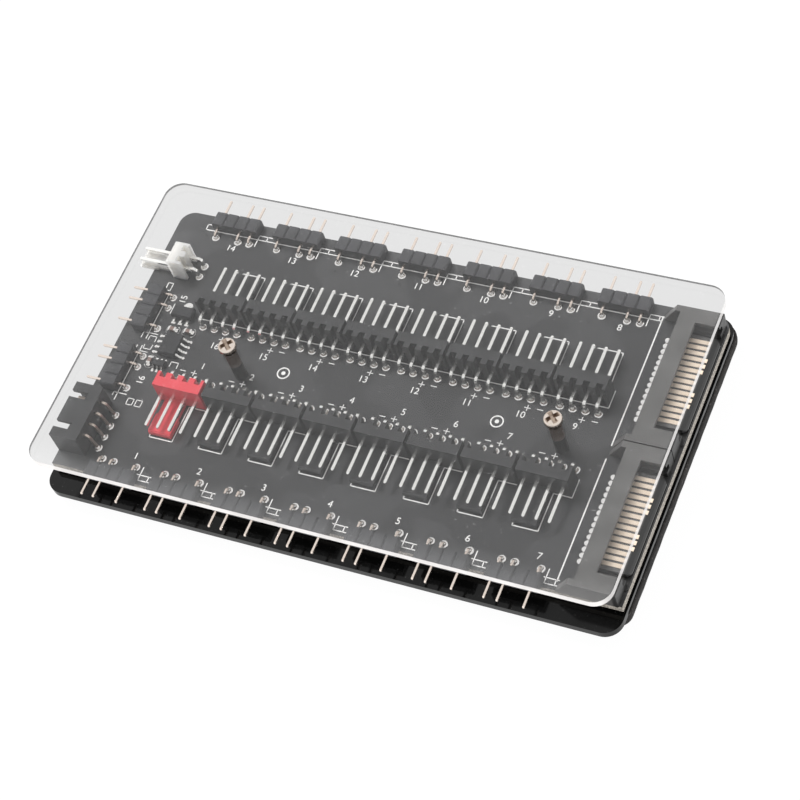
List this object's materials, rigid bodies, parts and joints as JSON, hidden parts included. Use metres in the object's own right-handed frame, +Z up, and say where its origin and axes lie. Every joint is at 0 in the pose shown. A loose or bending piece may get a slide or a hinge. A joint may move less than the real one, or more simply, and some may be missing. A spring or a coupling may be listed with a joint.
{
  "type": "pc fan controller hub",
  "caption": "Fan and light hub for a computer case: black base plate, circuit board with rows of right-angled headers and power plugs, clear cover held on two screws.",
  "frame": {"origin": "middle of the base plate, on the underside of the foam pad", "axes": "+X towards the power plugs, +Y towards the rear row of headers, +Z up"},
  "size_m": [0.1207, 0.0713, 0.0178],
  "materials": {
    "foam_pad": "closed-cell foam, dull",
    "black_acrylic": "glossy, cut edges",
    "black_board": "black solder mask with white print",
    "clear_acrylic": "clear, polished faces, bright cut edges",
    "screw_steel": "nickel plated",
    "bronze_post": "dull bronze above, black below",
    "black_nut": "black, satin",
    "red_nylon": "moulded, satin",
    "black_nylon": "moulded, satin",
    "white_nylon": "moulded, satin",
    "tinned_pin": "tin plated",
    "gold_pin": "flash gold plated",
    "chip_resin": "moulded resin",
    "ceramic_chip": "ceramic with tinned ends"
  },
  "bodies": {
    "root": {"mounting_pad": "foam_pad", "base_plate": "black_acrylic", "circuit_board": "black_board", "clear_cover": "clear_acrylic", "cover_screws": "screw_steel", "support_posts": "bronze_post", "spacer_nuts": "black_nut", "fan_header_1": "red_nylon", "fan_header_2": "black_nylon", "fan_header_3": "black_nylon", "fan_header_4": "black_nylon", "fan_header_5": "black_nylon", "fan_header_6": "black_nylon", "fan_header_7": "black_nylon", "fan_header_8": "black_nylon", "fan_header_9": "black_nylon", "fan_header_10": "black_nylon", "fan_header_11": "black_nylon", "fan_header_12": "black_nylon", "fan_header_13": "black_nylon", "fan_header_14": "black_nylon", "fan_header_15": "black_nylon", "fan_header_16": "black_nylon", "light_header_1": "black_nylon", "light_header_2": "black_nylon", "light_header_3": "black_nylon", "light_header_4": "black_nylon", "light_header_5": "black_nylon", "light_header_6": "black_nylon", "light_header_7": "black_nylon", "light_header_8": "black_nylon", "light_header_9": "black_nylon", "light_header_10": "black_nylon", "light_header_11": "black_nylon", "light_header_12": "black_nylon", "light_header_13": "black_nylon", "light_header_14": "black_nylon", "light_header_15": "black_nylon", "light_header_16": "black_nylon", "fan_pins_front": "tinned_pin", "fan_pins_rear": "tinned_pin", "light_pins_front": "gold_pin", "light_pins_rear": "gold_pin", "light_pins_left": "gold_pin", "key_header": "white_nylon", "key_pins": "tinned_pin", "input_socket": "black_nylon", "input_pins": "tinned_pin", "power_plug_1": "black_nylon", "power_contacts_1": "gold_pin", "power_plug_2": "black_nylon", "power_contacts_2": "gold_pin", "driver_chip": "chip_resin", "switch_chip": "chip_resin", "regulator": "chip_resin", "chip_leads": "tinned_pin", "capacitors": "ceramic_chip"}
  },
  "joints": []
}
